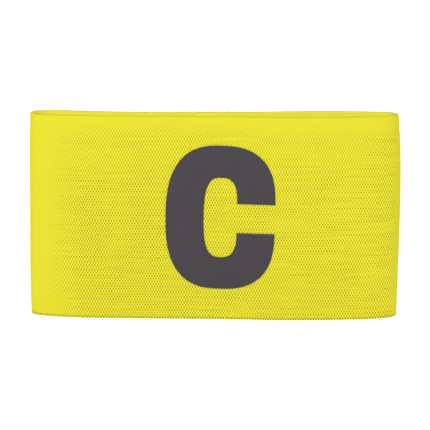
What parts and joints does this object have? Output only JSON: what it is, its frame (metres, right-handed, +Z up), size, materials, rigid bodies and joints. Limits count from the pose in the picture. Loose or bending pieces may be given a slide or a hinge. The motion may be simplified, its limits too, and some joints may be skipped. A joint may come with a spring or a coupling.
{
  "type": "captain armband",
  "caption": "Wide woven elastic armband closed to a loop by a lapped seam, with a large plain capital printed on its front wall.",
  "frame": {"origin": "on the ground under the middle of the object's box, with the loop standing on its lower rim", "axes": "+X from the left fold to the right fold, +Y from the front wall to the back wall, +Z up along the loop's axis"},
  "size_m": [0.1274, 0.0204, 0.07],
  "materials": {
    "woven_elastic": "matt lemon-yellow woven elastic with a fine staggered pit weave",
    "printed_film": "smooth satin warm-grey transfer film"
  },
  "bodies": {
    "root": {"band": "woven_elastic", "letter_c": "printed_film"}
  },
  "joints": []
}
